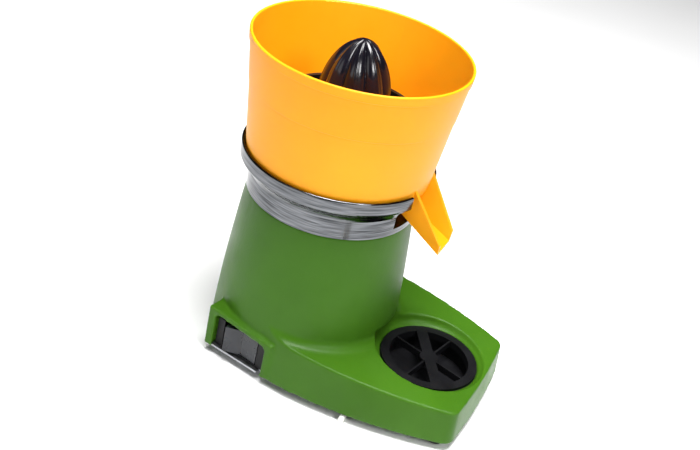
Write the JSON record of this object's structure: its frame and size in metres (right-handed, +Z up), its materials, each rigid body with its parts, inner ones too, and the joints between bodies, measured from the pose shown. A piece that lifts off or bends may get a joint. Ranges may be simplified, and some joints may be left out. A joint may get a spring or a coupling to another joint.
{
  "type": "citrus press juicer",
  "caption": "Electric citrus press: a cast base with a motor column, a polished ring, a tapered juice bowl with a spout and a ribbed reamer, and a round cup rest.",
  "frame": {"origin": "on the table, under the middle of the object without its free cord", "axes": "+Z up; -Y towards the cup rest and the spout; -X towards the side with the switch"},
  "size_m": [0.3454, 0.381, 0.3235],
  "materials": {
    "green_paint": "satin baked enamel, fine texture",
    "polished_ring": "polished",
    "orange_plastic": "semi-gloss moulded",
    "black_plastic": "satin moulded",
    "reamer_black": "glossy moulded",
    "zinc_steel": "zinc plated",
    "shaft_steel": "ground",
    "lamination": "varnished laminations",
    "die_cast": "as cast",
    "copper_wire": "enamelled winding wire",
    "black_rubber": "matt",
    "switch_sheen": "semi-gloss moulded",
    "white_cord": "satin flexible",
    "white_plastic": "satin moulded",
    "grey_plastic": "satin moulded",
    "brass_metal": "plain"
  },
  "bodies": {
    "base": {"body_casting": "green_paint", "bottom_plate": "zinc_steel", "plate_screws": "zinc_steel", "rubber_feet": "black_rubber", "foot_screws": "zinc_steel", "foot_nuts": "zinc_steel", "bowl_ring": "polished_ring", "ring_screws": "zinc_steel", "motor_upper_shield": "die_cast", "motor_lower_shield": "die_cast", "stator_core": "lamination", "stator_windings": "copper_wire", "motor_bolts": "zinc_steel", "motor_mount_screws": "zinc_steel", "upper_bearing": "shaft_steel", "lower_bearing": "shaft_steel", "shaft_seal": "black_rubber", "switch_housing": "black_plastic", "rocker_pin": "shaft_steel", "switch_terminals": "brass_metal", "run_capacitor": "grey_plastic", "capacitor_clip": "zinc_steel", "terminal_block": "white_plastic", "internal_leads": "white_cord", "cord_gland": "black_plastic", "gland_nut": "black_plastic", "power_cord": "white_cord", "cord_tail": "white_cord", "cord_coil": "white_cord", "plug_body": "white_plastic", "plug_pins": "brass_metal"},
    "rotor": {"motor_shaft": "shaft_steel", "rotor_core": "lamination", "cooling_fan": "grey_plastic", "slinger": "black_rubber"},
    "bowl": {"juice_bowl": "orange_plastic"},
    "strainer": {"sieve": "black_plastic"},
    "hub": {"drive_hub": "black_plastic"},
    "cone": {"reamer": "reamer_black"},
    "rocker": {"switch_rocker": "switch_sheen"},
    "cup": {"drip_cup": "black_plastic"},
    "grid": {"cup_grid": "black_plastic"}
  },
  "joints": [
    {"name": "motor_spin", "type": "hinge", "parent": "base", "child": "rotor", "pos_m": [0, 0.047, 0.1], "axis": [0, 0, 1], "continuous": true},
    {"name": "bowl_lift", "type": "slide", "parent": "base", "child": "bowl", "axis": [0, 0, 1], "range_m": [0, 0.12]},
    {"name": "sieve_lift", "type": "slide", "parent": "bowl", "child": "strainer", "axis": [0, 0, 1], "range_m": [0, 0.1]},
    {"name": "hub_spin", "type": "hinge", "parent": "strainer", "child": "hub", "pos_m": [0, 0.047, 0.25], "axis": [0, 0, 1], "continuous": true},
    {"name": "reamer_lift", "type": "slide", "parent": "hub", "child": "cone", "axis": [0, 0, 1], "range_m": [0, 0.08]},
    {"name": "switch_rock", "type": "hinge", "parent": "base", "child": "rocker", "pos_m": [-0.07817, 0.07039, 0.027], "axis": [0, 0, -1], "range_deg": [0, 24]},
    {"name": "drip_cup_lift", "type": "slide", "parent": "base", "child": "cup", "axis": [0, 0, 1], "range_m": [0, 0.01]},
    {"name": "cup_grid_lift", "type": "slide", "parent": "cup", "child": "grid", "axis": [0, 0, 1], "range_m": [0, 0.01]}
  ],
  "couplings": [
    {"joint": "hub_spin", "follows": "motor_spin", "ratio": 1}
  ]
}
